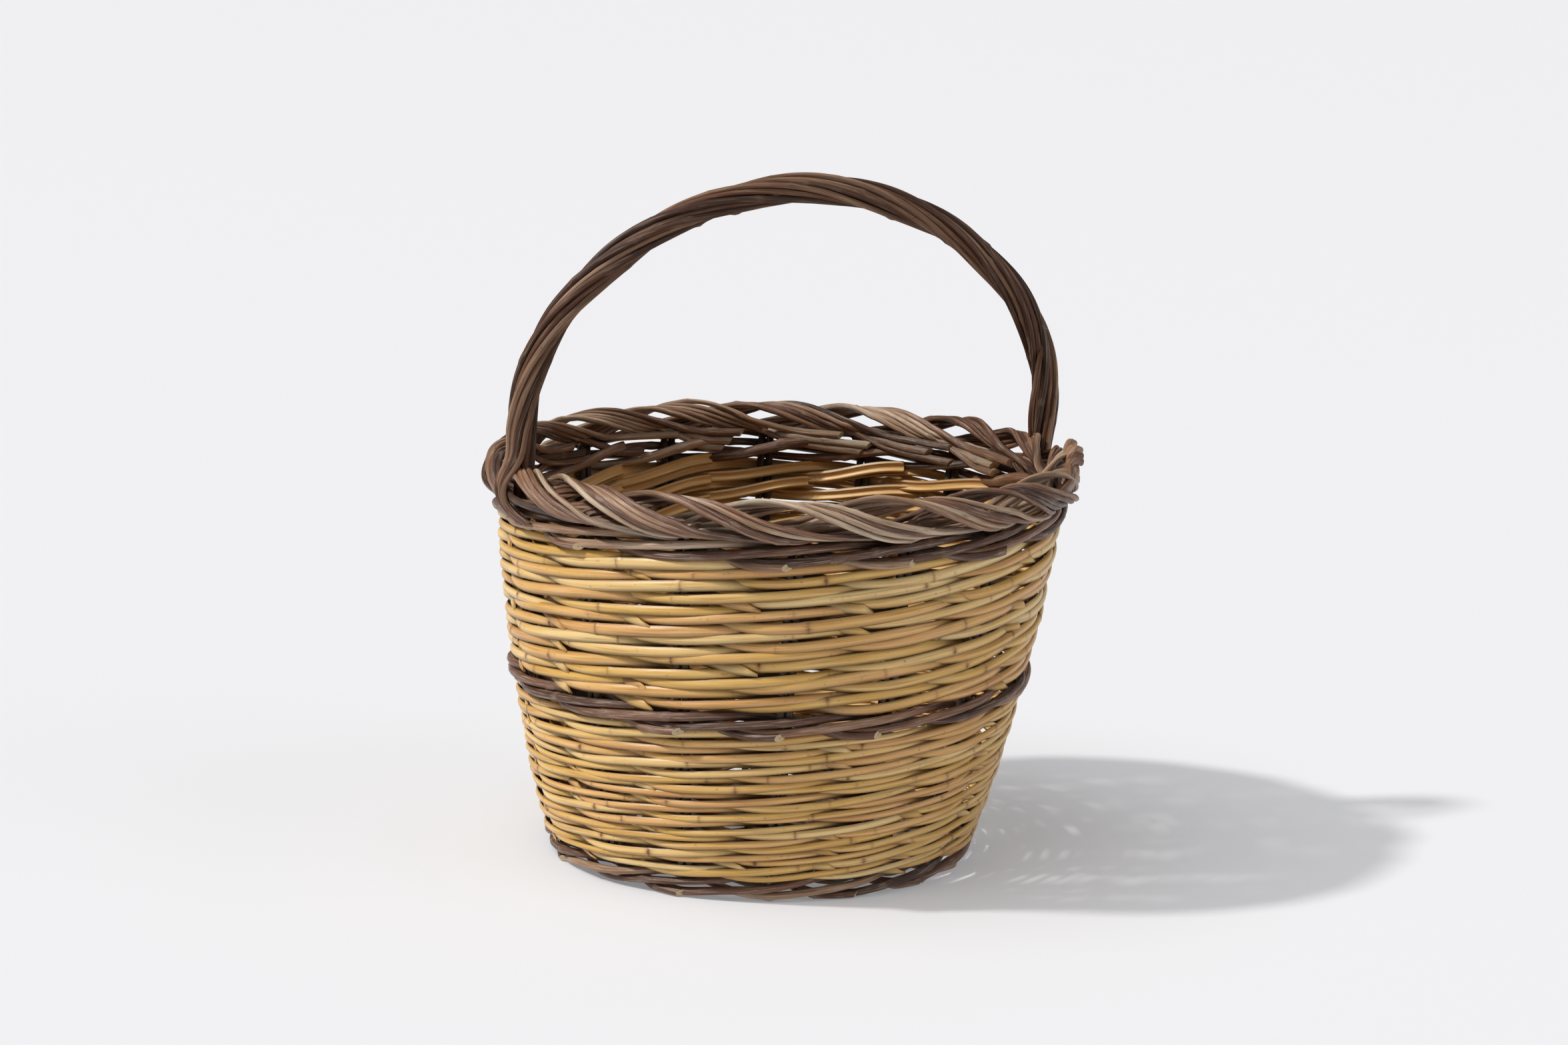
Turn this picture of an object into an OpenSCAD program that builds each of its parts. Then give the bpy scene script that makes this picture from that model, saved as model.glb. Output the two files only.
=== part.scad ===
// Round market basket woven from split cane and willow, with a plaited border and a hoop handle.
// The origin is at the middle of the rim's footprint on the floor. X runs along the handle's span, Z is up.
// Each woven row is one ring, with a slot at every pair of stakes that passes through it.

/* [Body] */
// Outside diameter over the plaited border
rim_d = 380; // [378:1:386]
// Outside diameter of the wall where it meets the floor
foot_d = 266; // [262:1:270]
// Height of the middle of the plaited border
rim_h = 252; // [250:1:254]
// How far the rim sits to the side of the foot
lean = 10; // [0:1:10]
// Direction in which the wall leans
lean_dir = -26; // [-180:1:180]
// How early the wall swells outwards, where 1 is a straight cone
swell = 0.62; // [0.6:0.01:0.66]

/* [Rods and cane] */
// Diameter of one stake
stake_d = 5; // [4.6:0.1:5]
// Thickness of a split cane strip
cane_t = 3.6; // [3.2:0.1:3.8]
// Diameter of one willow weaver
willow_d = 6.3; // [5.8:0.1:6.4]
// Diameter of one base stick
stick_d = 7; // [6:0.5:7]

/* [Rows] */
// Number of narrow cane rows under the middle band
lower_rows = 10; // [8:1:10]
// Number of wide cane rows over the middle band
upper_rows = 7; // [5:1:7]
// Free height between one row and the next
row_gap = 0.8; // [0.6:0.1:1.4]

/* [Border and handle] */
// Diameter of the plaited border
plait_d = 20; // [18:1:20]
// Height of the handle's middle line at the top of the hoop
hoop_h = 433; // [430:1:440]
// Half of the handle's span, between the middle lines of its legs
hoop_half = 189; // [189:1:191]
// Radius of the hoop's top arc
hoop_top_r = 215; // [208:1:222]
// Diameter of each of the five rods of the handle
handle_rod_d = 7; // [6.6:0.1:7.2]

/* [Hidden] */
$fn = 48;
STAKES = 16;                    // pairs of stakes, evenly spaced
STEP = 360 / STAKES;
HANDLE_RODS = 5;
CLEAR = 0.8;                    // free space all round a rod in its slot
PLAIT_PART = 0.1;               // degrees between one border group and the next
KNUCKLE = 1.04;                 // diameter of a rod's bend over the rod's own diameter
JOINT = 0.3;                    // how far short of a knuckle's middle the hoop's arcs and legs stop
BEVEL = 0.25;                   // cut corner of a woven row over the row's smaller side

wall_top_r = rim_d / 2 - 1;     // outside of the wall at the height of the border's middle
foot_h = 15;                    // top of the foot wale
band_z = [114, 129.5];          // bottom and top of the middle willow band
top_wale_z = [224.4, 239.6];    // bottom and top of the willow row under the border
stake_top = rim_h - plait_d / 2 - 0.5;
plait_r = rim_d / 2 - plait_d / 2;

base_mid = 10;                  // height of the middle of the base weave
base_t = 13;
base_in_r = 47;
base_out_r = foot_d / 2 - 10;
stick_end_r = base_out_r - 2;
stake_tail_r = 104;             // where a stake's hidden tail starts, beside a base stick
stick_pitch = 9.5;              // spacing of the parallel sticks in the middle of the cross

stake_side = stake_d / 2 + 0.3; // from the middle of a pair to the middle of each stake
slot_w = 2 * stake_side + stake_d + CLEAR;
slot_t = stake_d + 2 * CLEAR;
core_d = 5;
core_foot_z = 168;              // where the core's lower end sits inside the wall
core_pocket = core_d + 1.4;     // extra depth of the slots that also hold the core
hoop_bend = 45;                 // half of the top arc's angle

slope_step = 0.5;               // height difference used to measure the wall's slope

function out_r(z) = foot_d / 2 + (wall_top_r - foot_d / 2) * pow(max(z, 0.1) / rim_h, swell);
function stake_r(z) = out_r(z) - cane_t - stake_d / 2;
function core_r(z) = stake_r(z) + stake_d / 2 + core_d / 2 + 0.5;
function lean_at(z) = -lean * (1 - z / rim_h) * [cos(lean_dir), sin(lean_dir), 0];
function slope(z) = atan2(stake_r(z + slope_step) - stake_r(z - slope_step), 2 * slope_step);
function two(n) = n < 10 ? str("0", n) : str(n);

function numbered(stem, count) = [for (i = [1:count]) str(stem, two(i))];

// A round rod through a list of points, with a slight knuckle at each bend.
module rod(points, d) {
    for (i = [0:len(points) - 2]) {
        run = points[i + 1] - points[i];
        length = norm(run);
        translate(points[i])
            rotate([0, acos(run[2] / length), atan2(run[1], run[0])])
                cylinder(d = d, h = length);
        if (i > 0) translate(points[i]) knuckle(d);
    }
}

module knuckle(d) { sphere(d = d * KNUCKLE); }

// A rectangle with cut corners, centred on the origin.
module bevelled(size, cut) {
    x = size[0] / 2;
    y = size[1] / 2;
    polygon([[x, cut - y], [x, y - cut], [x - cut, y], [cut - x, y],
             [-x, y - cut], [-x, cut - y], [cut - x, -y], [x - cut, -y]]);
}

// Whether the stake pair at this place has the handle's core beside it.
function holds_core(i) = i % (STAKES / 2) == 0;

// The slots for the stake pairs through a row at height z.
module slots(z) {
    tall = 60;
    for (i = [0:STAKES - 1]) {
        pocket = holds_core(i) && z > core_foot_z - 8 ? core_pocket : 0;
        rotate([0, 0, i * STEP])
            translate([stake_r(z), 0, z])
                rotate([0, slope(z), 0])
                    translate([-slot_t / 2, -slot_w / 2, -tall / 2])
                        cube([slot_t + pocket, slot_w, tall]);
    }
}

// One woven row between two heights, made of weavers of one thickness in front of the stakes and behind.
module row(z0, z1, weaver_t) {
    z = (z0 + z1) / 2;
    size = [stake_d + 2 * weaver_t, (z1 - z0 - row_gap) / cos(slope(z))];
    translate(lean_at(z))
        difference() {
            rotate_extrude($fn = 180)
                translate([stake_r(z), z]) rotate(-slope(z)) bevelled(size, BEVEL * min(size));
            slots(z);
        }
}

module lower_cane_row(i) {
    pitch = (band_z[0] - foot_h) / lower_rows;
    color("khaki") row(foot_h + (i - 1) * pitch, foot_h + i * pitch, cane_t);
}

module upper_cane_row(i) {
    pitch = (top_wale_z[0] - band_z[1]) / upper_rows;
    color("khaki") row(band_z[1] + (i - 1) * pitch, band_z[1] + i * pitch, cane_t);
}

module middle_wale() { color("rosybrown") row(band_z[0], band_z[1], willow_d); }

module top_wale() { color("rosybrown") row(top_wale_z[0], top_wale_z[1], willow_d); }

// The lowest row stands on the floor. The stakes come into it from the base, on its inner side.
module foot_wale() {
    z = foot_h / 2;
    size = [stake_d + 2 * willow_d, foot_h / cos(slope(z)) - row_gap];
    color("dimgray")
        translate(lean_at(z))
            difference() {
                rotate_extrude($fn = 180)
                    difference() {
                        translate([stake_r(z), z]) rotate(-slope(z)) bevelled(size, BEVEL * min(size));
                        translate([0, -40]) square([foot_d, 40]);
                    }
                for (i = [0:STAKES - 1])
                    rotate([0, 0, i * STEP])
                        translate([base_out_r - 10, -slot_w / 2, base_mid - stake_d / 2 - CLEAR])
                            cube([stake_r(foot_h) + stake_d / 2 + CLEAR - base_out_r + 10, slot_w, foot_h]);
            }
}

// A stake's points in its own upright plane, as [distance from the wall's axis, height].
STAKE_Z = [foot_h + 1, 24, 40, 80, 130, 190, stake_top];

module stake_pair(i) {
    turn = (i - 1) * STEP;
    tail = [[stake_tail_r, base_mid], [base_out_r, base_mid]];
    path = concat(tail, [for (z = STAKE_Z) [stake_r(z), z]]);
    color("saddlebrown")
        for (side = [-1, 1])
            rod([for (p = path)
                let (across = side * stake_side * tail_spread(p[0]))
                lean_at(p[1]) + [p[0] * cos(turn) - across * sin(turn),
                                 p[0] * sin(turn) + across * cos(turn), p[1]]], stake_d);
}

// Beside a base stick the two stakes of a pair stand further apart than in the wall.
function tail_spread(r) = r < base_out_r - 5 ? (stick_d + stake_d + 0.8) / 2 / stake_side : 1;

// The angle to which the stick at this offset from the middle of the cross is fanned out.
function stick_angle(offset) = offset / stick_pitch * STEP;

// Half of a stick's points: where it leaves the cross, where all sticks are level, and its end.
function stick_half(side, offset, z) =
    let (angle = stick_angle(offset), bend_r = offset / sin(angle))
    [[side * bend_r * cos(angle), offset, z],
     for (r = [base_in_r - 3, stick_end_r]) [side * r * cos(angle), r * sin(angle), base_mid]];

function reversed(list) = [for (i = [len(list) - 1:-1:0]) list[i]];
function unit(v) = v / norm(v);
function heading(points, i) =
    let (last = len(points) - 1,
         before = unit(points[max(i, 1)] - points[max(i, 1) - 1]),
         after = unit(points[min(i, last - 1) + 1] - points[min(i, last - 1)]))
    unit(before + after);

// A smooth tube along a nearly level list of points, mitred at its bends.
module swept(points, d, sides = 12) {
    corners = [for (i = [0:len(points) - 1])
        let (along = heading(points, i), across = unit(cross(along, [0, 0, 1])), above = cross(across, along))
        for (k = [0:sides - 1])
            points[i] + d / 2 * (cos(k * 360 / sides) * across + sin(k * 360 / sides) * above)];
    walls = [for (i = [0:len(points) - 2], k = [0:sides - 1])
        let (a = i * sides, next = (k + 1) % sides)
        [a + k, a + sides + k, a + sides + next, a + next]];
    start = [for (k = [0:sides - 1]) k];
    end = [for (k = [sides - 1:-1:0]) (len(points) - 1) * sides + k];
    polyhedron(corners, concat(walls, [start, end]));
}

// One stick across the base, in the lower layer of the cross or the upper one.
module base_stick(offset, layer) {
    z = base_mid + layer * (stick_d / 2 + 0.1);
    swept(concat(reversed(stick_half(-1, offset, z)), stick_half(1, offset, z)), stick_d);
}

module base_sticks() {
    color("tan")
        translate(lean_at(base_mid))
            for (layer = [-1, 1], k = [-1.5:1:1.5])
                rotate([0, 0, STEP / 2 + (layer > 0 ? 90 : 0)])
                    base_stick(k * stick_pitch, layer);
}

// The round floor, with a channel for each base stick and for the stake tails beside its end.
module base_weave() {
    stick_slot = stick_d + CLEAR;
    tails_slot = stick_d + 2 * stake_d + 4 * CLEAR;
    color("burlywood")
        translate(lean_at(base_mid))
            difference() {
                rotate_extrude($fn = 180)
                    translate([(base_in_r + base_out_r) / 2, base_mid])
                        bevelled([base_out_r - base_in_r, base_t], BEVEL * base_t);
                for (i = [0:STAKES - 1])
                    rotate([0, 0, i * STEP]) {
                        translate([base_in_r - 5, -stick_slot / 2, base_mid - stick_slot / 2])
                            cube([base_out_r, stick_slot, stick_slot]);
                        translate([stake_tail_r - 2, -tails_slot / 2, base_mid - stick_slot / 2])
                            cube([base_out_r, tails_slot, stick_slot]);
                    }
            }
}

// One group of the plaited border. The groups at the handle leave room for its core on their outer side.
module border_plait(i) {
    half = (STEP - PLAIT_PART) / 2;
    color("sienna")
        rotate([0, 0, (i - 1) * STEP])
            difference() {
                rotate([0, 0, -half])
                    rotate_extrude(angle = 2 * half, $fn = 360)
                        translate([plait_r, rim_h]) circle(d = plait_d);
                if (holds_core(i - 1))
                    translate([core_r(rim_h) - core_d / 2 - 2 * CLEAR, -slot_w / 2, rim_h - plait_d])
                        cube([plait_d, slot_w, 2 * plait_d]);
            }
}

// Half of the hoop's angle beyond its top arc is turned on a smaller radius, down to upright legs.
shoulder_r = (hoop_half - hoop_top_r * sin(hoop_bend)) / (1 - sin(hoop_bend));
shoulder_x = hoop_half - shoulder_r;
spring_z = hoop_h - hoop_top_r + (hoop_top_r - shoulder_r) * cos(hoop_bend);
leg_foot_z = rim_h + plait_d / 2 + 0.2;     // legs that stand on the border
outer_leg_foot_z = top_wale_z[1] + 4;       // legs that pass outside the border

// A rod bent to the hoop, offset from the hoop's middle line outwards and sideways.
module hoop(out, side, d) {
    translate([0, side, 0])
        rotate([90, 0, 0]) {
            translate([0, hoop_h - hoop_top_r, 0])
                rotate([0, 0, 90 - hoop_bend]) arc(hoop_top_r + out, 2 * hoop_bend, d);
            for (end = [0, 1])
                mirror([end, 0, 0])
                    translate([shoulder_x, spring_z, 0]) {
                        arc(shoulder_r + out, 90 - hoop_bend, d);
                        for (angle = [0, 90 - hoop_bend])
                            rotate([0, 0, angle]) translate([shoulder_r + out, 0, 0]) knuckle(d);
                    }
        }
}

// An arc of rod that starts at the X axis.
module arc(r, angle, d) {
    short = JOINT / r * 180 / PI;
    rotate([0, 0, short])
        rotate_extrude(angle = angle - 2 * short, $fn = 180)
            translate([r, 0]) circle(d = d);
}

module hoop_legs(out, side, d) {
    foot = hoop_half + out - d / 2 > rim_d / 2 ? outer_leg_foot_z : leg_foot_z;
    for (end = [-1, 1])
        translate([end * (hoop_half + out), side, foot]) cylinder(d = d, h = spring_z - JOINT - foot);
}

module handle_core() {
    color("saddlebrown") {
        hoop(0, 0, core_d);
        for (side = [-1, 1])
            rod([[side * hoop_half, 0, spring_z - JOINT],
                 for (z = [rim_h, 236, 200, core_foot_z]) lean_at(z) + [side * core_r(z), 0, z]], core_d);
    }
}

module handle_rod(i) {
    turn = (i - 0.5) * 360 / HANDLE_RODS;
    reach = (core_d + handle_rod_d) / 2 * KNUCKLE + 0.1;
    color("maroon") {
        hoop(reach * cos(turn), reach * sin(turn), handle_rod_d);
        hoop_legs(reach * cos(turn), reach * sin(turn), handle_rod_d);
    }
}

foot_wale();
middle_wale();
top_wale();
for (i = [1:lower_rows]) lower_cane_row(i);
for (i = [1:upper_rows]) upper_cane_row(i);
for (i = [1:STAKES]) stake_pair(i);
base_sticks();
base_weave();
for (i = [1:STAKES]) border_plait(i);
handle_core();
for (i = [1:HANDLE_RODS]) handle_rod(i);
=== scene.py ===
from math import cos, pi, radians, sin

import bpy
import numpy as np
from mathutils import Matrix, Vector


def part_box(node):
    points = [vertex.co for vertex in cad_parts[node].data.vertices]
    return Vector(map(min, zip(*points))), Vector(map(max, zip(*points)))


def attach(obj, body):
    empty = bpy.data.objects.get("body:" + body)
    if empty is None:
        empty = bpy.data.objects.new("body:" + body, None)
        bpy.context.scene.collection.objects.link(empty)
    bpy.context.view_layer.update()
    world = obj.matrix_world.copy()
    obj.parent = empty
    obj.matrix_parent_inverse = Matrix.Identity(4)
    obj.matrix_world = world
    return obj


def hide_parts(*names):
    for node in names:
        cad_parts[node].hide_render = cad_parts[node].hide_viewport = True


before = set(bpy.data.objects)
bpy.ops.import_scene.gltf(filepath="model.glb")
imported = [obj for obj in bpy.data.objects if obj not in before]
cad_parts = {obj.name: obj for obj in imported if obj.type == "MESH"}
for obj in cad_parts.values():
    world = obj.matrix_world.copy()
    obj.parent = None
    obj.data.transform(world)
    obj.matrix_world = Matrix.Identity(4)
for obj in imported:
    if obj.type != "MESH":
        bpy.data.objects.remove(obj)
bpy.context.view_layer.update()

MM = 0.001
STAKES = 16
STEP = 2 * pi / STAKES
rng = np.random.default_rng(281)

# The wall, from the CAD: the border is centred on the origin and the foot is shifted by the lean.
plait_boxes = [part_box(f"border_plait_{i:02d}") for i in range(1, STAKES + 1)]
RIM_Z = (plait_boxes[0][0].z + plait_boxes[0][1].z) / 2
RIM_R = max(high.y for low, high in plait_boxes)
PLAIT_R = RIM_R - 10 * MM       # the middle of the border
foot_low, foot_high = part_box("foot_wale")
foot_mid = (foot_low + foot_high) / 2
LEAN = np.array([foot_mid.x, foot_mid.y, 0]) / (1 - foot_mid.z / RIM_Z)
FOOT_R = 133 * MM
SWELL = 0.62                    # below 1, the wall opens fastest near the foot
BASE_Z = 10 * MM

STAKE_D = 5 * MM
STAKE_GAP = 2.8 * MM
CANE_T = 3.6 * MM
LOWER_ROWS, LOWER_CANE_W = 10, 5.35 * MM
UPPER_ROWS, UPPER_CANE_W = 7, 7.3 * MM
WILLOW_D = 5.7 * MM
WALE_SPREAD = 6.5 * MM          # how far a wale's rods lie apart, up and down
TOP_WALE_SPREAD = 7.8 * MM
TUCK = 2.4 * MM                 # how much further in the stakes stand under the border
BACK = 3 * STEP                 # where each row has its seam

# ---------------------------------------------------------------- strands


def smooth(x, low, high):
    t = np.clip((x - low) / (high - low), 0, 1)
    return t * t * (3 - 2 * t)


def wobble(x, amount, rate=1.0):
    """Slow, smooth, random variation along x."""
    total = 0
    for k in (1.0, 2.3, 4.1):
        total = total + np.sin(x * rate * k + rng.uniform(0, 2 * pi)) / k
    return amount * total * 0.6


def unit(v):
    return v / np.linalg.norm(v, axis=-1, keepdims=True)


def arc_length(path):
    return np.concatenate([[0], np.cumsum(np.linalg.norm(np.diff(path, axis=0), axis=1))])


def resample(points, spacing):
    """A smooth curve through a few points, with evenly spaced points of its own."""
    points = np.asarray(points, float)
    n = len(points)
    padded = np.vstack([2 * points[0] - points[1], points, 2 * points[-1] - points[-2]])
    t = np.linspace(0, n - 1, 24 * n)
    i = np.minimum(t.astype(int), n - 2)
    f = (t - i)[:, None]
    a, b, c, d = padded[i], padded[i + 1], padded[i + 2], padded[i + 3]
    curve = 0.5 * (2 * b + (c - a) * f + (2 * a - 5 * b + 4 * c - d) * f**2
                   + (3 * b - a - 3 * c + d) * f**3)
    along = arc_length(curve)
    count = max(3, int(along[-1] / spacing))
    even = np.linspace(0, along[-1], count)
    return np.stack([np.interp(even, along, curve[:, k]) for k in range(curve.shape[1])], axis=1)


class Strands:
    """Swept rods and strips that make up one piece.

    The fields say where each vertex is on its strand (grain), the strand's own tone, and how much of it is
    a knot (mark), the inner side (pith), a cut end (cut, 2 in the end's middle) or in painted shade (shade).
    """

    def __init__(self):
        self.points, self.quads, self.tris = [], [], []
        self.fields = {"grain": [], "tone": [], "mark": [], "pith": [], "cut": [], "shade": []}
        self.count = 0

    def _vertices(self, points, grain, tone, mark, pith, cut, shade):
        n = len(points)
        first = self.count
        self.points.append(points)
        self.fields["grain"].append(grain)
        values = {"tone": tone, "mark": mark, "pith": pith, "cut": cut, "shade": shade}
        for name, value in values.items():
            self.fields[name].append(np.broadcast_to(value, n).astype(float))
        self.count += n
        return first

    def sweep(self, path, out, rise, depth, tone, mark, pith=0.0, shade=0.0, hollow=False,
              slants=(0.0, 0.0)):
        """A strand along path. rise and depth place each point of its section, across and outwards."""
        n, m = rise.shape
        tangent = unit(np.gradient(path, axis=0))
        out = unit(out - np.sum(out * tangent, axis=1, keepdims=True) * tangent)
        up = np.cross(out, tangent)
        rings = path[:, None] + rise[..., None] * up[:, None] + depth[..., None] * out[:, None]
        for end, slant in zip((0, -1), slants):
            rings[end] -= (slant * depth[end])[:, None] * tangent[end]
        along = arc_length(path) + rng.uniform(0, 40)
        grain = np.stack([rise, depth, np.broadcast_to(along[:, None], rise.shape)], axis=-1)
        mark, pith, shade = (np.broadcast_to(v, rise.shape).reshape(-1) for v in (mark, pith, shade))
        first = self._vertices(rings.reshape(-1, 3), grain.reshape(-1, 3), tone,
                               mark, pith, 0.0, shade)
        i, k = np.meshgrid(np.arange(n - 1), np.arange(m), indexing="ij")
        a, b = first + i * m + k, first + i * m + (k + 1) % m
        self.quads.append(np.stack([a, a + m, b + m, b], axis=-1).reshape(-1, 4))
        for end, flip in ((0, False), (-1, True)):
            self._cap(rings[end], grain[end], tone, hollow, flip)

    def _cap(self, ring, grain, tone, hollow, flip):
        m = len(ring)
        if hollow:
            first = self._vertices(ring, grain, tone, 0.0, 1.0, 0.4, 0.0)
            k = first + np.arange(m // 2 - 1)
            j = first + m - 1 - np.arange(m // 2 - 1)
            face = np.stack([k, k + 1, j - 1, j], axis=-1)
            self.quads.append(face[:, ::-1] if flip else face)
            return
        first = self._vertices(np.vstack([ring, ring.mean(axis=0)]),
                               np.vstack([grain, grain.mean(axis=0)]), tone, 0.0, 0.0,
                               np.append(np.ones(m), 2.0), 0.0)
        k = np.arange(m)
        face = np.stack([np.full(m, first + m), first + k, first + (k + 1) % m], axis=-1)
        self.tris.append(face[:, ::-1] if flip else face)

    def build(self, name, material, node):
        """The piece itself, standing for the CAD node."""
        points = np.vstack(self.points)
        quads = np.vstack(self.quads)
        tris = np.vstack(self.tris) if self.tris else np.zeros((0, 3), int)
        mesh = bpy.data.meshes.new(name)
        mesh.vertices.add(len(points))
        mesh.vertices.foreach_set("co", points.ravel())
        mesh.loops.add(quads.size + tris.size)
        mesh.loops.foreach_set("vertex_index", np.concatenate([quads.ravel(), tris.ravel()]))
        mesh.polygons.add(len(quads) + len(tris))
        starts = np.concatenate([np.arange(len(quads)) * 4, quads.size + np.arange(len(tris)) * 3])
        mesh.polygons.foreach_set("loop_start", starts)
        mesh.update(calc_edges=True)
        for field, values in self.fields.items():
            kind, key = ("FLOAT_VECTOR", "vector") if field == "grain" else ("FLOAT", "value")
            data = np.concatenate(values).astype(np.float32)
            mesh.attributes.new(field, kind, "POINT").data.foreach_set(key, data.ravel())
        mesh.shade_smooth()
        mesh.set_sharp_from_angle(angle=radians(42))
        piece = bpy.data.objects.new(name, mesh)
        bpy.context.scene.collection.objects.link(piece)
        mesh.materials.append(material)
        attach(piece, "root")
        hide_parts(node)


def rod(strands, path, out, radius, tone, sides=10, knots=0.045, slants=(0.4, 0.4), bump=0.3, shade=0.0,
        flanks=(0.0, 0.0)):
    """A round willow rod, a little uneven, with a bud knot every so often.

    shade paints shade on its outer side, and flanks paints shade on its lower and its upper side.
    """
    along = arc_length(path)
    angle = np.linspace(0, 2 * pi, sides, endpoint=False)[None, :]
    radius = np.broadcast_to(radius, len(path)) * (1 + wobble(along / (25 * MM), 0.035))
    swell = np.zeros((len(path), sides))
    place = rng.uniform(0, 1.5 * knots)
    while place < along[-1] - 5 * MM:
        side = rng.uniform(0, 2 * pi)
        near = np.exp(-((along - place) / (2.6 * MM)) ** 2)[:, None]
        turn = np.cos(angle - side)
        swell += near * (bump * np.exp(3.5 * (turn - 1)) + 0.08)
        place += rng.uniform(0.5, 1.6) * knots
    reach = radius[:, None] * (1 + swell)
    # painted shade: the outer side darkened as shade says, and the flanks darkened where neighbouring rods
    # meet
    shade = np.reshape(shade, (-1, 1)) * np.clip(0.4 + np.cos(angle), 0, 1)
    shade = shade + np.where(np.sin(angle) < 0, *flanks) * (1 - smooth(np.abs(np.cos(angle)), 0.1, 0.75))
    strands.sweep(path, out, reach * np.sin(angle), reach * np.cos(angle), tone,
                  np.clip(swell * 3, 0, 1), shade=np.clip(shade, 0, 1), slants=slants)


# ---------------------------------------------------------------- wall


def wall_r(z):
    z = np.maximum(z, 0.1 * MM)
    return FOOT_R + (RIM_R - MM - FOOT_R) * (z / RIM_Z) ** SWELL


def stake_r(z):
    return wall_r(z) - CANE_T - STAKE_D / 2 - TUCK * smooth(z, 0.78 * RIM_Z, 0.92 * RIM_Z)


def slope(z):
    return np.arctan2(wall_r(z + MM) - wall_r(z - MM), 2 * MM)


def at(phi, r, z):
    """The point at an angle, a distance from the wall's axis and a height."""
    phi, r, z = np.broadcast_arrays(phi, r, z)
    lean = LEAN * (1 - z / RIM_Z)[..., None]
    return np.stack([r * np.cos(phi), r * np.sin(phi), z], axis=-1) + lean


def outwards(phi, tilt=0.0):
    phi, tilt = np.broadcast_arrays(phi, tilt)
    return np.stack([np.cos(tilt) * np.cos(phi), np.cos(tilt) * np.sin(phi), -np.sin(tilt)], axis=-1)


def in_and_out(s):
    """A weaver's place in the wall: -1 behind the stake at 0, 1 in front of those at 1 and 2."""
    return 1 / 3 - np.cos(2 * pi * s / 3) - np.cos(4 * pi * s / 3) / 3


def up_and_down(s):
    """A weaver comes out low and goes in high, over the next weaver."""
    return -0.664 * np.sin(2 * pi * s / 3) - 0.087 * np.sin(4 * pi * s / 3)


def woven(z, u, s, thickness, width, out_by, up_by):
    """The middle line of a weaver in the row at height z, and the directions out of the wall."""
    phi = BACK + STEP * u
    rho = (STAKE_D + thickness) / 2 * in_and_out(s) + out_by
    eta = width * up_and_down(s) + up_by
    tilt = slope(z)
    path = at(phi, stake_r(z) + rho * np.cos(tilt) + eta * np.sin(tilt),
              z - rho * np.sin(tilt) + eta * np.cos(tilt))
    return path, outwards(phi, tilt)


JOIN_IN, JOIN_OUT = 0.45, 0.72  # a new strip starts this far before a stake, the old one ends after it


def splice(s, start, end, thickness, width):
    """How far a strip is moved at its two ends, where it lies over or under its neighbour."""
    fresh = 1 - smooth(s, start + 0.2, start + 1.0)
    spent = smooth(s, end - 0.9, end - 0.2)
    return thickness * (0.55 * spent - 0.8 * fresh), width * (0.3 * fresh - 0.32 * spent)


def strips(weaver, cuts):
    """A weaver's strips as (start, end) in stake steps, joined where cuts say, in turns of three steps."""
    turns = 6 if weaver == 0 else 5     # sixteen stakes are five turns and one step
    marks = [0, *cuts, turns]
    return [(3 * a - JOIN_IN, 3 * b + JOIN_OUT) for a, b in zip(marks, marks[1:])]


CANE_HALF_ANGLE = radians(64)
CANE_SIDES = 8


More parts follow.
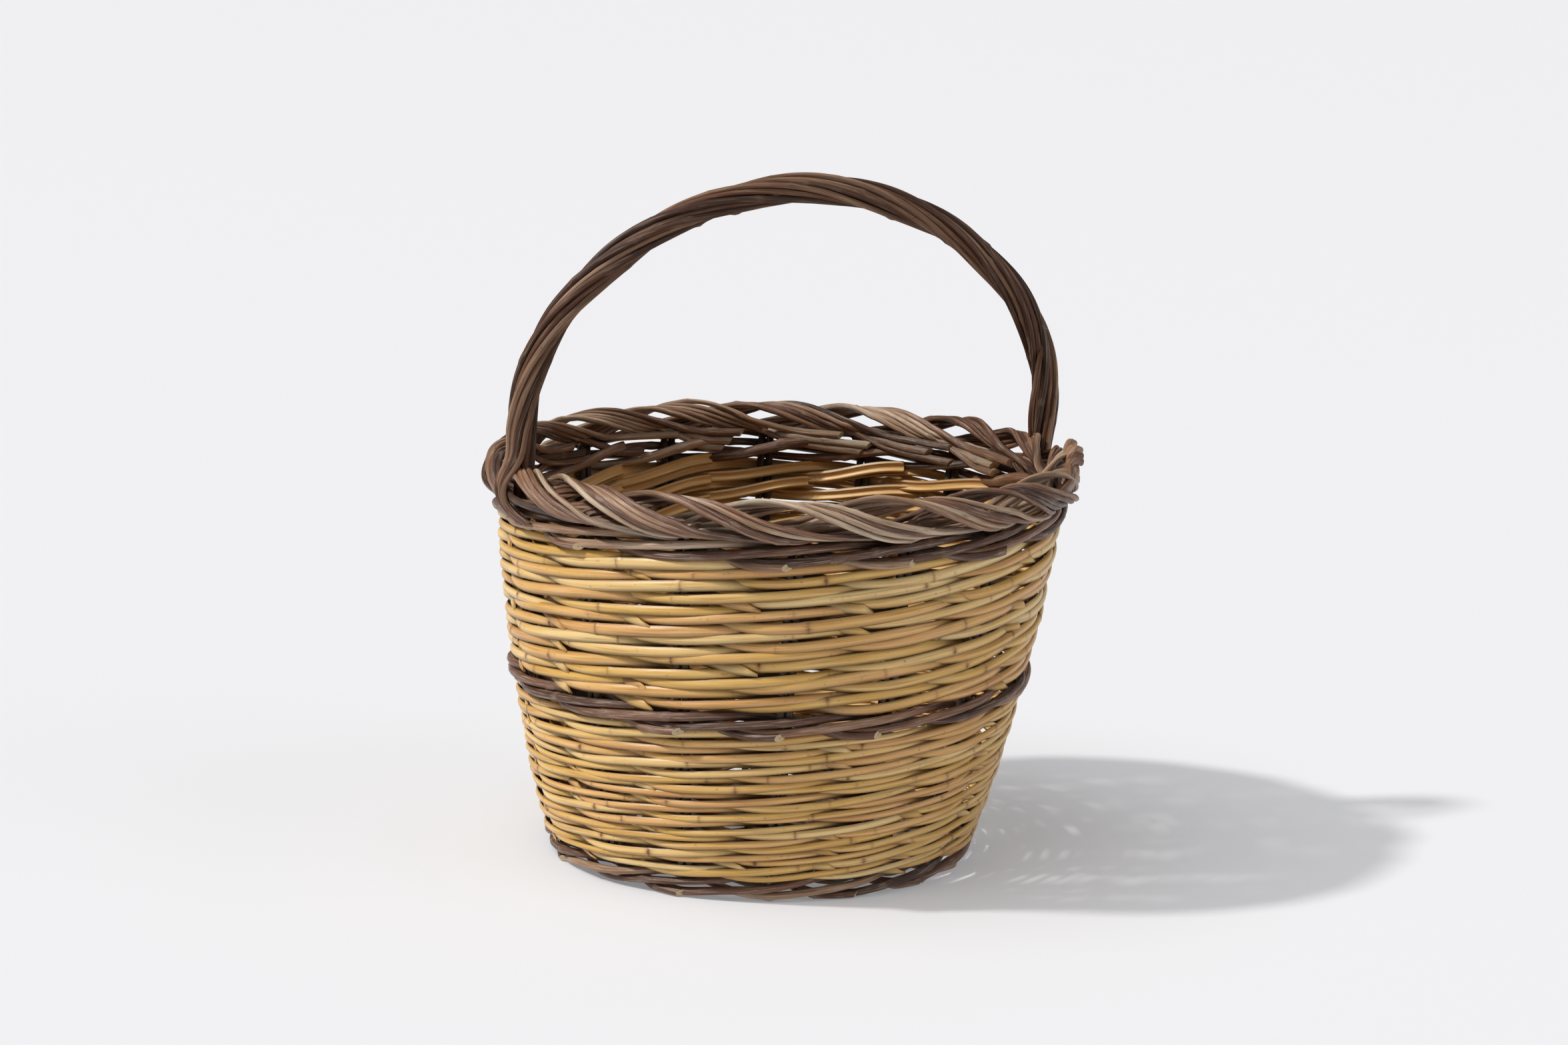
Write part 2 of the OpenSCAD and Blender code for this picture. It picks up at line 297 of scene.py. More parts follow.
def cane_strip(strands, z, weaver, offset, start, end, width):
    """One strip of split cane: an arched outer side, a pale inner one, and a ring at each of its nodes."""
    thickness = 0.4 * width
    per_step = wall_r(z) * STEP
    nodes = np.cumsum(rng.uniform(0.1, 0.15, 12)) - 0.1 * rng.uniform(0, 1)
    nodes = start + nodes[nodes < (end - start) * per_step - 12 * MM] / per_step
    detail = np.array([-6, -3.2, -1.8, -0.9, 0, 0.9, 1.8, 3.2, 6]) * MM / per_step
    even = np.linspace(start, end, int((end - start) * 12))
    s = np.concatenate([even, (nodes[:, None] + detail).ravel()])
    s = np.unique(np.clip(s, start, end).round(5))
    near = np.abs(s[:, None] - nodes[None, :]).min(axis=1) * per_step if len(nodes) else np.ones(len(s))
    out_by, up_by = splice(s, start, end, thickness, width)
    out_by = out_by + wobble(s, 0.45 * MM)
    up_by = up_by + wobble(s, 0.27 * width, 0.8)
    path, out = woven(z, s + weaver + offset, s, thickness, width, out_by, up_by)
    bulge = 1 + 0.07 * np.exp(-((near / (2 * MM)) ** 2)) + wobble(s, 0.03)
    outer_r = 0.557 * width * bulge[:, None]
    wall = 0.19 * width
    to_tip = (end - s) * per_step
    tip = rng.uniform(5, 11) * MM
    low = np.full(len(s), -CANE_HALF_ANGLE)
    high = CANE_HALF_ANGLE * (1 - 1.45 * (1 - np.clip(to_tip / tip, 0, 1)))
    fraction = np.linspace(0, 1, CANE_SIDES)[None, :]
    angle = low[:, None] + (high - low)[:, None] * fraction
    septum = np.exp(-((near / (1.5 * MM)) ** 2))[:, None]
    inner_r = (outer_r - wall) * (1 - 0.25 * septum * np.cos(angle))
    rise = np.hstack([outer_r * np.sin(angle), (inner_r * np.sin(angle))[:, ::-1]])
    depth = np.hstack([outer_r * np.cos(angle), (inner_r * np.cos(angle))[:, ::-1]]) - 0.36 * width
    ring = np.exp(-((near / (0.9 * MM)) ** 2)) + 0.35 * np.exp(-((near / (3 * MM)) ** 2))
    mark = np.repeat(ring[:, None] * rng.uniform(0.4, 0.95), 2 * CANE_SIDES, axis=1)
    # painted shade: the strip's lower and upper edges and its stretches behind a stake are darkened as if in
    # shadow
    lower_edge_shade = smooth(-angle, radians(-10), radians(58))
    upper_edge_shade = 0.7 * smooth(angle, radians(40), radians(64))
    behind_stake_shade = 1 - smooth(in_and_out(s), -0.9, 0.7)[:, None]
    shade = np.zeros(rise.shape)
    shade[:, :CANE_SIDES] = np.maximum(np.maximum(lower_edge_shade, upper_edge_shade), behind_stake_shade)
    for node in nodes[rng.uniform(size=len(nodes)) < 0.5]:
        bud = rng.uniform(-0.8, 0.8)
        near_bud = np.exp(-(((s - node) * per_step / (2.4 * MM)) ** 2))[:, None]
        mark[:, :CANE_SIDES] += 0.9 * near_bud * np.exp(-(((angle - bud) / 0.4) ** 2))
    pith = np.hstack([np.zeros(CANE_SIDES), np.ones(CANE_SIDES)])[None, :]
    strands.sweep(path, out, rise, depth, rng.uniform(0, 1), mark, pith, shade, hollow=True)


def cane_row(node, material, width):
    low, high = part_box(node)
    strands = Strands()
    z = (low.z + high.z) / 2
    offset = rng.integers(0, 2)     # rows differ in the stakes that their weavers pass behind
    for weaver in range(3):
        cuts = [[2], [3], [2, 4], [1, 3], [1, 4]][rng.integers(0, 5)]
        for start, end in strips(weaver, cuts):
            cane_strip(strands, z, weaver, offset, start, end, width * rng.uniform(0.84, 1.16))
    strands.build(node + "_cane", material, node)


def willow_row(node, material, cuts, loose=0.0, spread=WALE_SPREAD):
    """A row of three weavers of willow rods. loose makes it slacker and more ragged."""
    low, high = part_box(node)
    strands = Strands()
    z = (low.z + high.z) / 2
    for weaver in range(3):
        for start, end in strips(weaver, cuts[weaver]):
            end += rng.uniform(0.15, 0.35)
            s = np.linspace(start, end, int((end - start) * 20))
            butt = 1 - smooth(s, start, start + 1.6)
            tip = smooth(s, end - 3, end)
            thick = WILLOW_D * (1.0 + 0.3 * butt - 0.12 * tip)
            thick *= (1 - 0.12 * loose) * rng.uniform(0.92, 1.08)
            out_by, up_by = splice(s, start, end, WILLOW_D, WILLOW_D)
            out_by = out_by + wobble(s, (0.3 + loose) * MM) - loose * 2.2 * MM
            up_by = up_by + wobble(s, (0.4 + loose) * MM, 1.3)
            path, out = woven(z, s + weaver, s, WILLOW_D, spread, out_by, up_by)
            path[:, 2] = np.maximum(path[:, 2], 0.63 * thick)   # at most a knot goes under the floor
            # painted shade on the rods where they pass behind a stake, and along their lower side
            rod(strands, path, out, thick / 2, rng.uniform(0, 1), slants=(0.6, 1.3),
                shade=0.8 - 0.8 * smooth(in_and_out(s), -0.9, 0.6), flanks=(0.7, 0.1),
                knots=0.05 - 0.012 * loose, bump=0.3 + 0.1 * loose)
    strands.build(node + "_rods", material, node)


def stake_pair(i, material):
    """Two stakes that come from the base, turn up and run to the border."""
    strands = Strands()
    phi = (i - 1) * STEP
    in_base = np.array([104, 121]) * MM
    heights = np.array([16, 24, 40, 80, 130, 190, 225, 243]) * MM
    for side in (-1, 1):
        r = np.concatenate([in_base, stake_r(heights)])
        z = np.concatenate([[BASE_Z, BASE_Z], heights])
        across = side * STAKE_GAP * np.array([2.2, 1.4] + [1] * len(heights))
        path = resample(at(phi + across / r, r, z), 4 * MM)
        rod(strands, path, outwards(phi + pi / 2), STAKE_D / 2, rng.uniform(0, 1), sides=8)
    strands.build(f"stake_pair_{i:02d}_rods", material, f"stake_pair_{i:02d}")


# ---------------------------------------------------------------- border

# A group's way round the border's section in steps, as distances outwards and up from its middle.
PLAIT_T = np.array([0, 0.35, 0.7, 0.95, 1.2, 1.45, 1.7, 2.0, 2.4, 2.8, 3.5])
PLAIT_OUT = np.array([-4.5, -7.0, -4.5, 0.5, 5.0, 9.0, 10.0, 9.0, 6.5, 1.0, -4.5]) * MM
PLAIT_UP = np.array([-4.5, 0.5, 7.5, 9.8, 8.8, 3.5, -3.2, -7.2, -8.2, -9.0, -7.0]) * MM
# Where the rods of a group lie beside each other, as distances aside and up from the group's middle.
GROUP = np.array([(-6.4, -0.6), (-3.2, 0.6), (0.0, 1.1), (3.2, 0.6), (6.4, -0.6)]) * MM
FROM_STAKES = (1, 3)            # these rods of a group go on from the two stakes, the others start inside
INSIDE_DROP = {0: 5 * MM, 2: 12.5 * MM, 4: 9 * MM}
FOLDED_ENDS = 6


def eased(t, table):
    """A table's value at t, with its corners rounded off."""
    return sum(np.interp(t + shift, PLAIT_T, table) for shift in (-0.12, -0.04, 0.04, 0.12)) / 4


def plait_path(phi0, t, aside, lift):
    """A rod that starts behind a stake, goes up over the border and down outside, and is tucked under."""
    out, up = eased(t, PLAIT_OUT), eased(t, PLAIT_UP)
    heading = unit(np.stack([np.gradient(out), np.gradient(up)], axis=-1))
    aside = aside * (1 - 0.35 * smooth(t, 1.9, 2.9))
    out = out - aside * heading[:, 0] - lift * heading[:, 1]
    up = up - aside * heading[:, 1] + lift * heading[:, 0]
    return at(phi0 + STEP * t, PLAIT_R + out, RIM_Z + up)


def border_plait(i, material):
    """One group of the border, of four or five rods."""
    strands = Strands()
    phi0 = (i - 1) * STEP
    count = 5 if rng.uniform() < 0.6 else 4
    base_tone = rng.uniform(0.2, 0.8)
    bold = rng.uniform(0.9, 1.05)
    roll = rng.uniform(0.1, 0.55)
    for k in range(count):
        t = np.linspace(0.05, 2.9 + rng.uniform(0, 0.25), 34)
        turn = roll * (t - 1.5)
        aside = bold * (GROUP[k, 0] * np.cos(turn) - GROUP[k, 1] * np.sin(turn)) + wobble(t, 0.8 * MM)
        lift = bold * (GROUP[k, 0] * np.sin(turn) + GROUP[k, 1] * np.cos(turn)) + wobble(t, 0.8 * MM)
        path = plait_path(phi0, t, aside, lift)
        thick = rng.uniform(3.6, 4.7) * MM
        if k in FROM_STAKES:
            across = (k - 2) * STAKE_GAP / PLAIT_R
            before = at(phi0 + across, stake_r(RIM_Z) + np.array([0, 0, -1.5]) * MM,
                        RIM_Z - np.array([20, 14, 7]) * MM)
            butt = 1.0
        else:
            early = rng.uniform(0.55, 1.1)
            before = at(phi0 - STEP * np.array([early, 0.6 * early, 0.22]),
                        PLAIT_R - np.array([9, 9, 8]) * MM,
                        RIM_Z - INSIDE_DROP[k] * np.array([1.4, 1.3, 1.0]))
            butt = 1.4
        path = resample(np.vstack([before, path[1:]]), 3.2 * MM)
        along = np.linspace(0, 1, len(path))
        radius = thick / 2 * (butt + (1 - butt) * smooth(along, 0, 0.35)) * (1 - 0.1 * along)
        # painted shade on the last stretch of each rod, where it is tucked under the border, and along both
        # its flanks
        rod(strands, path, path - at(np.arctan2(path[:, 1], path[:, 0]), PLAIT_R, RIM_Z), radius,
            np.clip(base_tone + rng.uniform(-0.45, 0.45), 0, 1), slants=(-0.7, 0.6),
            shade=0.7 * smooth(along, 0.72, 0.95), flanks=(0.7, 0.7))
    if i == STAKES:
        finish_ends(strands)
    strands.build(f"border_plait_{i:02d}_rods", material, f"border_plait_{i:02d}")


def finish_ends(strands):
    """Where the border closes, the last rods are folded back over it and their ends stick out."""
    for k in range(FOLDED_ENDS):
        phi = -STEP * (1.55 - 0.11 * k)
        tip_z = RIM_Z + (9 + 2.2 * (k % 3)) * MM
        points = [at(phi - 0.30, PLAIT_R + 9 * MM, RIM_Z - 2 * MM),
                  at(phi - 0.13, PLAIT_R + 9.5 * MM, RIM_Z + 5 * MM),
                  at(phi, PLAIT_R + 5 * MM, RIM_Z + 10 * MM),
                  at(phi + 0.06, PLAIT_R + 8 * MM, tip_z + 3 * MM),
                  at(phi + 0.10, PLAIT_R + 13 * MM, tip_z + MM)]
        path = resample(points, 2.5 * MM)
        rod(strands, path, path * [1, 1, 0], 2.6 * MM, rng.uniform(0.2, 0.8))


# ---------------------------------------------------------------- handle

# The hoop's middle line is a wide arc on top, a tighter one on each side, and two straight legs.
core_low, core_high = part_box("handle_core")
CAD_CORE_R = 2.5 * MM
HOOP_HALF = (core_high.x - core_low.x) / 2 - CAD_CORE_R
HOOP_TOP = core_high.z - CAD_CORE_R
HOOP_R = 215 * MM
HOOP_BEND = radians(45)
SHOULDER_R = (HOOP_HALF - HOOP_R * sin(HOOP_BEND)) / (1 - sin(HOOP_BEND))
SPRING_Z = HOOP_TOP - HOOP_R + (HOOP_R - SHOULDER_R) * cos(HOOP_BEND)


def hoop_points(foot_z):
    """The hoop from its left foot to its right one: distances from the top, points and ways outwards."""
    leg = max(SPRING_Z - foot_z, MM)
    top = HOOP_R * HOOP_BEND
    side = SHOULDER_R * (pi / 2 - HOOP_BEND)
    half = leg + side + top
    a = np.linspace(-half, half, int(2 * half / (3 * MM)))
    d = np.abs(a)
    on_top = d < top
    angle = np.where(on_top, d / HOOP_R, HOOP_BEND + np.clip(d - top, 0, side) / SHOULDER_R)
    x = np.where(on_top, HOOP_R * np.sin(angle), HOOP_HALF - SHOULDER_R * (1 - np.sin(angle)))
    z = np.where(on_top, HOOP_TOP - HOOP_R * (1 - np.cos(angle)), SPRING_Z + SHOULDER_R * np.cos(angle))
    z = z - np.clip(d - top - side, 0, None)
    sign = np.sign(a)
    middle = np.stack([sign * x, 0 * x, z], axis=1)
    out = np.stack([sign * np.sin(angle), 0 * x, np.cos(angle)], axis=1)
    return a, middle, out


HANDLE_SHARES = [(0, 1), (2, 3), (4, 5), (6, 7), (8, 9, 10)]    # the rods that stand for each CAD rod
HANDLE_STRANDS = 11
ODD_REACH, EVEN_REACH = 7.8 * MM, 5.8 * MM      # from the hoop's middle line to a rod's
CORE_ROD_R = 3.6 * MM
TWIST = -2.1                    # turns round the core from foot to foot
HOOP_SHIFT = np.array([6.5 * MM, 0, 0])     # how far the hoop sits towards its right leg
SIDEWAYS = np.array([0, 1.0, 0])            # square to the hoop's plane


def handle_strand(strands, k):
    """A rod twisted round the core, whose two ends pass over the border or go down into it."""
    a, middle, out = hoop_points(RIM_Z + 12 * MM)
    middle = middle + HOOP_SHIFT
    along = (a - a[0]) / (a[-1] - a[0])
    turn = 2 * pi * (k / HANDLE_STRANDS + TWIST * along) + wobble(along * 9, 0.1)
    reach = (ODD_REACH if k % 2 else EVEN_REACH) * (1 + wobble(along * 8, 0.08))
    away = np.cos(turn)[:, None] * out + np.sin(turn)[:, None] * SIDEWAYS
    path = middle + (reach * np.cos(turn))[:, None] * out + (reach * np.sin(turn))[:, None] * SIDEWAYS
    thick = rng.uniform(3.6, 5.0) * MM
    tails = []
    for end, sign in ((0, -1), (-1, 1)):
        foot = path[end]
        over = np.cos(turn[end]) > (0.25 if sign < 0 else -0.2)
        base = 0.0 if sign > 0 else pi
        if over:
            sweep = (0.03 + 0.045 * rng.integers(0, 4)) * (1 if sign < 0 else 0.35)
            outer = RIM_R + 4.5 * MM + rng.uniform(-1, 1) * MM
            spread = foot[1] * sign * 0.9 / RIM_R
            tail = at(base + np.array([spread, spread + 0.15 * sweep, spread + 0.45 * sweep, spread + sweep]),
                      np.array([outer, outer, outer - 3.5 * MM, outer - 7 * MM]),
                      RIM_Z + np.array([2, -8, -15, -20]) * MM)
        else:
            tail = foot + np.array([[0, 0, -7 * MM], [-sign * MM, 0, -14 * MM]])
        tails.append(tail)
    full = resample(np.vstack([tails[0][::-1], path[2:-2:6], tails[1]]), 3 * MM)
    fraction = np.linspace(0, 1, len(full))
    direction = np.stack([np.interp(fraction, along, away[:, j]) for j in range(3)], axis=1)
    # flanks: painted shade along both sides of each rod, between the twisted rods
    rod(strands, full, direction, thick / 2, rng.uniform(0, 1), knots=0.06, bump=0.42, flanks=(0.8, 0.8))


def loose_rod(strands):
    """One thin rod that has come away from the right leg."""
    x = HOOP_SHIFT[0] + HOOP_HALF
    points = [(x - 6 * MM, -5 * MM, SPRING_Z + 55 * MM), (x - 12 * MM, -8 * MM, SPRING_Z + 30 * MM),
              (x - 17 * MM, -9 * MM, SPRING_Z), (x - 16 * MM, -9 * MM, RIM_Z + 6 * MM)]
    rod(strands, resample(points, 3 * MM), SIDEWAYS, 1.7 * MM, 0.5, sides=8)


def handle(material):
    for i, share in enumerate(HANDLE_SHARES, start=1):
        strands = Strands()
        for k in share:
            handle_strand(strands, k)
        if i == 3:
            loose_rod(strands)
        strands.build(f"handle_rod_{i:02d}_twist", material, f"handle_rod_{i:02d}")
    strands = Strands()
    _, middle, _ = hoop_points(RIM_Z + 14 * MM)
    middle = middle + HOOP_SHIFT
    foot = stake_r(RIM_Z) + STAKE_D / 2
    legs = [at(phi, foot, z) for phi in (pi, 0) for z in (RIM_Z, RIM_Z - 22 * MM)]
    path = resample(np.vstack([legs[1::-1], middle[::6], legs[2:]]), 4 * MM)
    rod(strands, path, SIDEWAYS, CORE_ROD_R, 0.5)
    strands.build("handle_core_rod", material, "handle_core")


# ---------------------------------------------------------------- base

STICK_R = 3.4 * MM
STICK_REACH = 122 * MM          # from the middle of the base to a stick's end
CROSS_HALF = 30 * MM            # the sticks lie side by side this far from the middle, then fan out
CROSS_PITCH = 9.5 * MM
CROSS_LIFT = 3.6 * MM           # four sticks lie this much above the base's middle height, four below it
WEAVE_ROUNDS, WEAVE_START, WEAVE_PITCH = 17, 34, 5.3    # the last two in millimetres
WEAVE_ROD_R = 2.45 * MM


def base(material):
    """Eight sticks crossed in two layers of four, and the rods woven round them."""
    strands = Strands()
    for layer in (-1, 1):
        for k in (-1.5, -0.5, 0.5, 1.5):
            turn = STEP / 2 + (pi / 2 if layer > 0 else 0)
            fan = k * STEP
            ends = [(side * STICK_REACH * cos(fan), STICK_REACH * sin(fan), BASE_Z) for side in (-1, 1)]
            crossing = [(side * CROSS_HALF, k * CROSS_PITCH, BASE_Z + layer * CROSS_LIFT) for side in (-1, 1)]
            points = []
            for along, across, z in (ends[0], *crossing, ends[1]):
                x, y = along * cos(turn) - across * sin(turn), along * sin(turn) + across * cos(turn)
                points.append(np.array([x, y, z]) + LEAN)
            upwards = np.array([0, 0, 1.0])
            rod(strands, resample(points, 6 * MM), upwards, STICK_R, rng.uniform(0, 1), sides=8)
    strands.build("base_sticks_rods", material, "base_sticks")

    strands = Strands()
    for n in range(WEAVE_ROUNDS):
        r = (WEAVE_START + WEAVE_PITCH * n) * MM
        phi = np.linspace(0, 2 * pi, 14 * STAKES) + rng.uniform(0, 2 * pi)
        z = BASE_Z + 4.6 * MM * np.cos(phi / STEP * pi + pi * n) + wobble(phi, 0.2 * MM)
        path = np.stack([r * np.cos(phi), r * np.sin(phi), np.maximum(z, 2.6 * MM)], axis=1) + LEAN
        rod(strands, path, outwards(phi), WEAVE_ROD_R, rng.uniform(0, 1), sides=8)
    strands.build("base_weave_rods", material, "base_weave")


# ---------------------------------------------------------------- materials


def linear(hex_colour):
    """An sRGB colour written as six hex digits, as linear RGBA."""
    values = [int(hex_colour[i : i + 2], 16) / 255 for i in (0, 2, 4)]
    return tuple(v / 12.92 if v <= 0.04045 else ((v + 0.055) / 1.055) ** 2.4 for v in values) + (1.0,)


class Shader:
    """A short way to write a material's nodes."""

    def __init__(self, name):
        self.material = bpy.data.materials.new(name)
        self.material.use_nodes = True
        self.tree = self.material.node_tree
        self.surface = self.tree.nodes["Principled BSDF"]

    def node(self, kind, **settings):
        made = self.tree.nodes.new(kind)
        for key, value in settings.items():
            setattr(made, key, value)
        return made

    def link(self, source, target):
        self.tree.links.new(source, target)

    def attribute(self, name, output="Fac"):
        return self.node("ShaderNodeAttribute", attribute_name=name).outputs[output]

    def maths(self, operation, a, b=0.0, clamp=False):
        made = self.node("ShaderNodeMath", operation=operation, use_clamp=clamp)
        for socket, value in zip(made.inputs, (a, b)):
            if isinstance(value, (int, float)):
                socket.default_value = value
            else:
                self.link(value, socket)
        return made.outputs[0]

    def noise(self, vector, scale, detail=3.0):
        """Noise over the strand's own coordinates, with a scale across it and along it."""
        mapping = self.node("ShaderNodeMapping")
        mapping.inputs["Scale"].default_value = (scale[0], scale[0], scale[1])
        self.link(vector, mapping.inputs["Vector"])
        made = self.node("ShaderNodeTexNoise")
        made.inputs["Scale"].default_value = 1.0
        made.inputs["Detail"].default_value = detail
        self.link(mapping.outputs[0], made.inputs["Vector"])
        return made.outputs[0]

    def ramp(self, value, stops):
        made = self.node("ShaderNodeValToRGB")
        elements = made.color_ramp.elements
        while len(elements) < len(stops):
            elements.new(0.5)
        for element, (place, colour) in zip(elements, stops):
            element.position = place
            element.color = linear(colour)
        self.link(value, made.inputs[0])
        return made.outputs[0]

    def mix(self, factor, a, b):
        made = self.node("ShaderNodeMix", data_type="RGBA")
        for socket, value in ((made.inputs[0], factor), (made.inputs[6], a), (made.inputs[7], b)):
            if isinstance(value, (int, float, tuple)):
                socket.default_value = value
            elif isinstance(value, str):
                socket.default_value = linear(value)
            else:
                self.link(value, socket)
        return made.outputs[2]


def fibre(name, tones, streak_dark, streak_light, mark, pith, cut, roughness, streaks, bump, gloss,
          painted_shade_colour="1c120b"):
    """Plant fibre: a tone for each strand, streaks along it, knots, pale cut ends and painted shade where the
    shade attribute says.

    tones are the stops that a strand's colour comes from. streaks is their scale across and along a strand.
    """
    s = Shader(name)
    grain = s.attribute("grain", "Vector")
    tone = s.attribute("tone")
    patch = s.noise(grain, (90, 14))
    streak = s.noise(grain, streaks, 4.0)
    fine = s.noise(grain, (2.2 * streaks[0], 4 * streaks[1]), 2.0)
    own = s.maths("MULTIPLY", tone, 0.75)
    patchy = s.maths("MULTIPLY", s.maths("SUBTRACT", patch, 0.35), 0.7)
    colour = s.ramp(s.maths("ADD", own, patchy), tones)
    dark = s.maths("MULTIPLY", s.maths("SUBTRACT", 0.5, streak), 4.5, clamp=True)
    light = s.maths("MULTIPLY", s.maths("SUBTRACT", streak, 0.52), 4.5, clamp=True)
    colour = s.mix(s.maths("MULTIPLY", dark, 0.55), colour, streak_dark)
    colour = s.mix(s.maths("MULTIPLY", light, 0.45), colour, streak_light)
    spots = s.noise(grain, (420, 260), 2.0)
    spots = s.maths("MULTIPLY", s.maths("SUBTRACT", spots, 0.66), 9.0, clamp=True)
    colour = s.mix(s.maths("MULTIPLY", spots, 0.5), colour, streak_dark)
    marked = s.maths("MULTIPLY", s.attribute("mark"), s.maths("ADD", fine, 0.1), clamp=True)
    colour = s.mix(marked, colour, mark)
    inside = s.mix(light, pith, tones[0][1])
    colour = s.mix(s.attribute("pith"), colour, inside)
    # painted shade: the shade attribute mixes in a dark colour
    colour = s.mix(s.maths("MULTIPLY", s.attribute("shade"), 0.82), colour, painted_shade_colour)
    face = s.attribute("cut")
    colour = s.mix(s.maths("MULTIPLY", face, 1.0, clamp=True), colour, cut)
    heart = s.maths("MULTIPLY", s.maths("SUBTRACT", face, 1.84), 12.0, clamp=True)
    colour = s.mix(heart, colour, streak_dark)
    s.link(colour, s.surface.inputs["Base Color"])
    s.surface.inputs["Roughness"].default_value = roughness
    s.surface.inputs["Specular IOR Level"].default_value = gloss
    height = s.node("ShaderNodeBump")
    height.inputs["Strength"].default_value = bump
    height.inputs["Distance"].default_value = 0.5 * MM
    s.link(s.maths("ADD", streak, s.maths("MULTIPLY", fine, 0.7)), height.inputs["Height"])
    s.link(height.outputs[0], s.surface.inputs["Normal"])
    return s.material


cane = fibre(
    "split_cane",
    tones=[(0.0, "f8da9c"), (0.3, "f0c67c"), (0.52, "e4b45c"), (0.75, "e9b470"), (1.0, "d09654")],
    streak_dark="a06c34", streak_light="f6dca6", mark="80502e", pith="d8a868", cut="d6aa70",
    roughness=0.38, streaks=(700, 24), bump=0.3, gloss=0.5, painted_shade_colour="2c1808")
willow = fibre(
    "willow",
    tones=[(0.0, "3c251a"), (0.25, "66422e"), (0.5, "885f46"), (0.75, "ae8a6c"), (1.0, "dcc8ae")],
    streak_dark="2b1c14", streak_light="e0d0ba", mark="8f7764", pith="6b584c", cut="cdb48c",
    roughness=0.42, streaks=(1100, 50), bump=1.0, gloss=0.5)
stake_bark = fibre(
    "stake_willow",
    tones=[(0.0, "3c2f29"), (0.5, "4d3d34"), (1.0, "5d4b3c")],
    streak_dark="281e19", streak_light="7d6b5d", mark="6f5b4c", pith="54433a", cut="c4a67c",
    roughness=0.65, streaks=(1100, 50), bump=0.7, gloss=0.3)
dark_bark = fibre(
    "dark_willow",
    tones=[(0.0, "311d12"), (0.3, "4e2f1e"), (0.6, "6c432b"), (1.0, "a07d62")],
    streak_dark="1e130c", streak_light="c4aa90", mark="6e5646", pith="4f382f", cut="b99468",
    roughness=0.5, streaks=(1100, 40), bump=0.8, gloss=0.4)
base_bark = fibre(
    "base_willow",
    tones=[(0.0, "6b5848"), (0.5, "7d6752"), (1.0, "8c7660")],
    streak_dark="46382e", streak_light="a59078", mark="8f7764", pith="7d6752", cut="c9ae84",
    roughness=0.65, streaks=(1100, 50), bump=0.7, gloss=0.3)

# ---------------------------------------------------------------- pieces

willow_row("foot_wale", willow, [[2, 3], [1, 3], [2, 4]], loose=0.9)
willow_row("middle_wale", willow, [[2], [2], [2, 4]])
willow_row("top_wale", willow, [[3], [2, 4], [1, 2]], spread=TOP_WALE_SPREAD)
for n in range(1, LOWER_ROWS + 1):
    cane_row(f"lower_cane_row_{n:02d}", cane, LOWER_CANE_W)
for n in range(1, UPPER_ROWS + 1):
    cane_row(f"upper_cane_row_{n:02d}", cane, UPPER_CANE_W)
for n in range(1, STAKES + 1):
    stake_pair(n, stake_bark)
    border_plait(n, willow)
handle(dark_bark)
base(base_bark)

# ---------------------------------------------------------------- stage

VIEW_TURN = Matrix.Rotation(radians(-26.2), 4, "Z")     # from the camera's own axes to the object's
FLOOR_HALF = 40

corners = [(x * FLOOR_HALF, y * FLOOR_HALF, 0) for x, y in ((-1, -1), (1, -1), (1, 1), (-1, 1))]
floor_mesh = bpy.data.meshes.new("floor")
floor_mesh.from_pydata(corners, [], [(0, 1, 2, 3)])
floor = bpy.data.objects.new("floor", floor_mesh)
bpy.context.scene.collection.objects.link(floor)
paper = Shader("paper")
paper.surface.inputs["Base Color"].default_value = linear("d0d1d5")
paper.surface.inputs["Roughness"].default_value = 0.9
# The floor glows a little: painted light that lightens the shadow cast on it.
paper.surface.inputs["Emission Color"].default_value = (0.97, 0.98, 1.0, 1.0)
paper.surface.inputs["Emission Strength"].default_value = 0.21
floor_mesh.materials.append(paper.material)


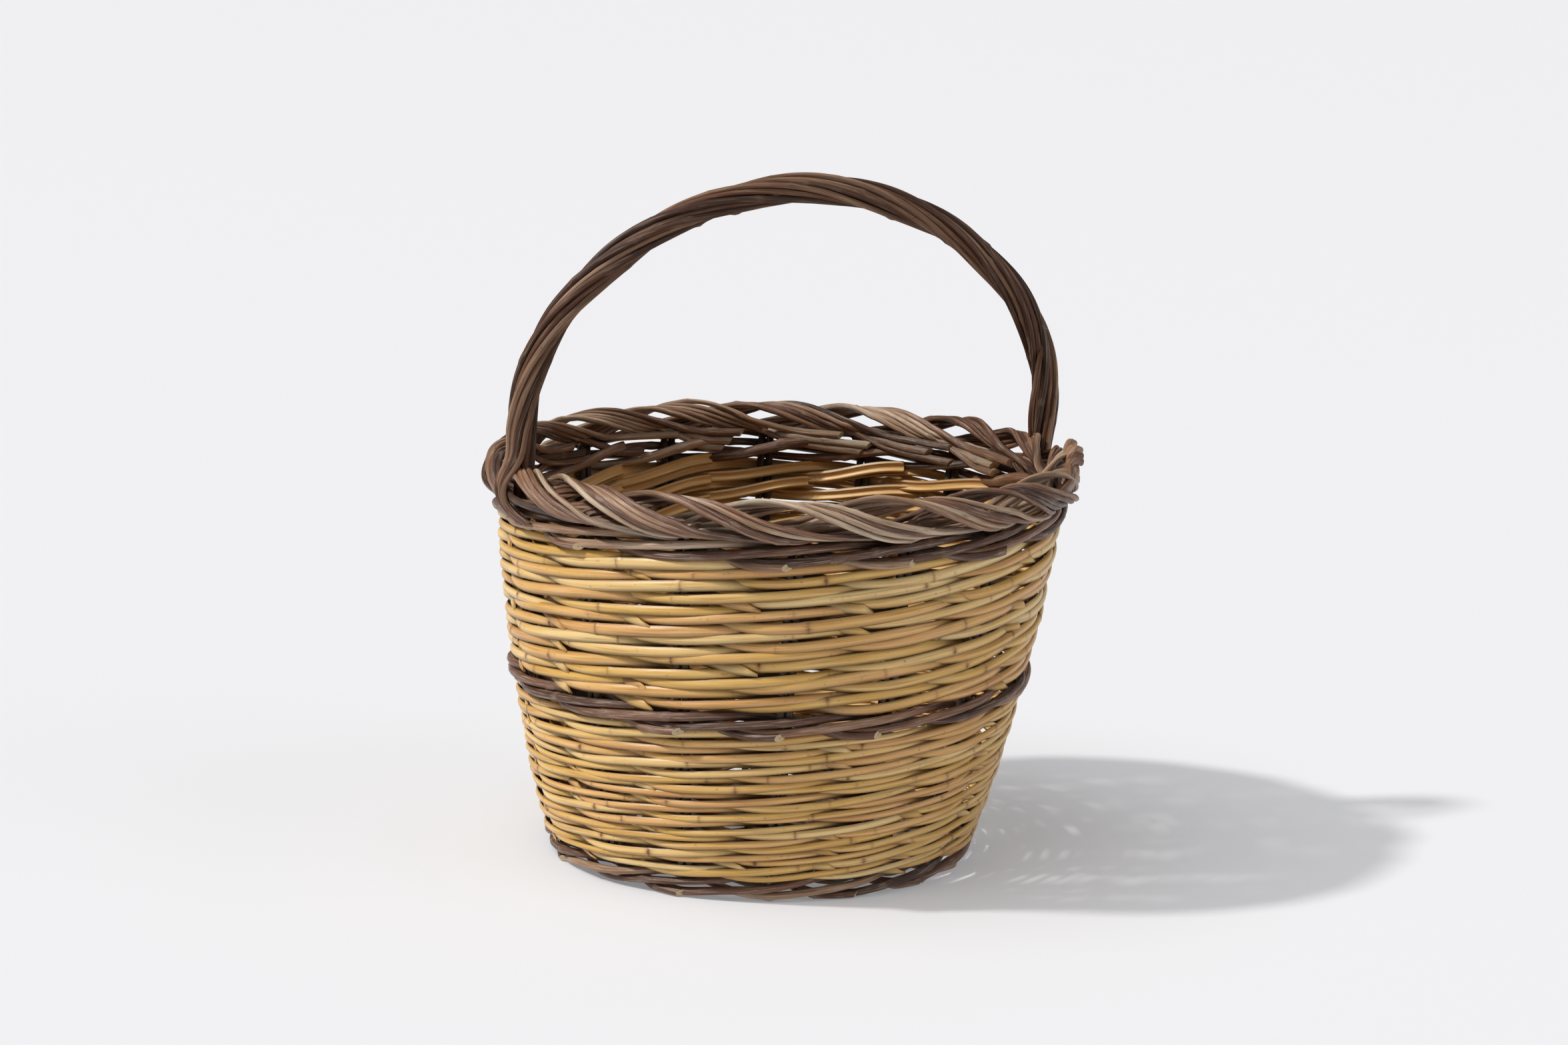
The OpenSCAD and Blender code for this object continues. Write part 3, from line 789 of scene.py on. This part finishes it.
def distant_light(name, energy, angle, place, colour=(1, 1, 1)):
    """A light from far away, on the side that place says, as wide as an angle in degrees."""
    data = bpy.data.lights.new(name, "SUN")
    data.energy, data.angle, data.color = energy, radians(angle), colour
    light = bpy.data.objects.new(name, data)
    light.matrix_world = (-(VIEW_TURN @ Vector(place))).to_track_quat("-Z", "Y").to_matrix().to_4x4()
    bpy.context.scene.collection.objects.link(light)


distant_light("key", 2.15, 4.0, (-1.1, -0.25, 1.25), (1.0, 0.97, 0.92))
distant_light("softbox", 1.0, 50, (-0.6, -0.35, 1.6))
distant_light("fill", 0.35, 40, (1.3, -0.5, 0.8))

# The studio is bright above and dimmer near the horizon.
world = bpy.data.worlds.new("studio")
world.use_nodes = True
nodes, links = world.node_tree.nodes, world.node_tree.links
where = nodes.new("ShaderNodeTexCoord")
split = nodes.new("ShaderNodeSeparateXYZ")
bright = nodes.new("ShaderNodeValToRGB")
for element, place, level in zip(bright.color_ramp.elements, (0.2, 1.0), (0.1, 0.97)):
    element.position = place
    element.color = (level, level, level * 1.02, 1.0)
links.new(where.outputs["Generated"], split.inputs[0])
links.new(split.outputs["Z"], bright.inputs[0])
links.new(bright.outputs[0], nodes["Background"].inputs["Color"])
nodes["Background"].inputs["Strength"].default_value = 0.37
bpy.context.scene.world = world
bpy.context.scene.view_settings.view_transform = "Standard"

camera_data = bpy.data.cameras.new("camera")
camera_data.lens = 90.09        # lens, place and angles were fitted to the body's outline, rows and hoop
camera_data.sensor_width = 36
camera_data.clip_end = 200
camera = bpy.data.objects.new("camera", camera_data)
CAMERA_PLACE = (0.0092, -2.5, 0.713)
PITCH, ROLL, YAW = radians(11.25), radians(1.32), radians(-0.16)
forward = Vector((sin(YAW) * cos(PITCH), cos(YAW) * cos(PITCH), -sin(PITCH)))
right = forward.cross(Vector((0, 0, 1))).normalized()
above = right.cross(forward)
right, above = cos(ROLL) * right + sin(ROLL) * above, cos(ROLL) * above - sin(ROLL) * right
axes = Matrix((right, above, -forward)).transposed().to_4x4()
camera.matrix_world = VIEW_TURN @ Matrix.Translation(CAMERA_PLACE) @ axes
bpy.context.scene.collection.objects.link(camera)
bpy.context.scene.camera = camera
